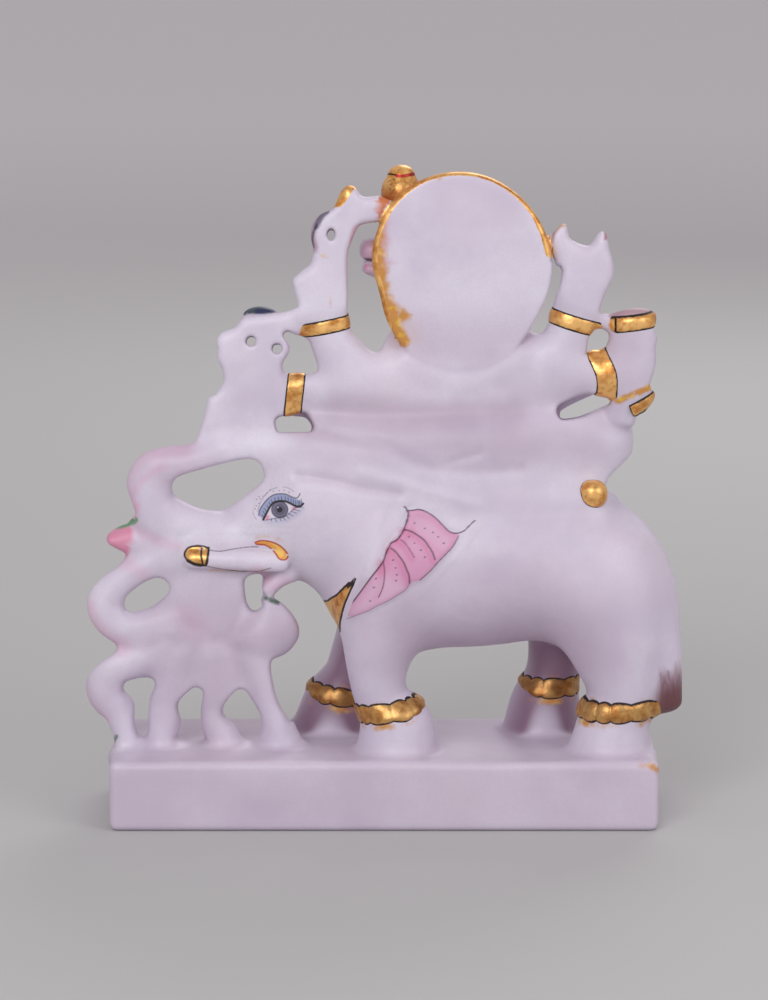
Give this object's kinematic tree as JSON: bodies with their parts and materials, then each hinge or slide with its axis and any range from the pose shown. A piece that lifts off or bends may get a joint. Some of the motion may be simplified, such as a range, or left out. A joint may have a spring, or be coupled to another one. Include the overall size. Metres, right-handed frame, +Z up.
{
  "type": "manibhadra idol",
  "caption": "White marble idol of the boar-headed, many-armed Manibhadra seated on a many-trunked elephant, carved in one block with its rectangular plinth, with painted gold and details.",
  "frame": {"origin": "centre of the plinth's flat underside", "axes": "+Z up, +Y the way the seated figure looks, -X the way the elephant walks, so the plain back of the figure faces -Y"},
  "size_m": [0.2786, 0.094, 0.307],
  "materials": {
    "marble": "polished white marble with a lilac cast, with gold, black, pink and blue paint on it",
    "gold_paint": "gold leaf and gold paint, worn and brushed",
    "ink_paint": "thin black and brown painted lines, matt",
    "colour_paint": "thin pink, blue and green paint, matt"
  },
  "bodies": {
    "root": {"manibhadra_idol": "marble"}
  },
  "joints": []
}
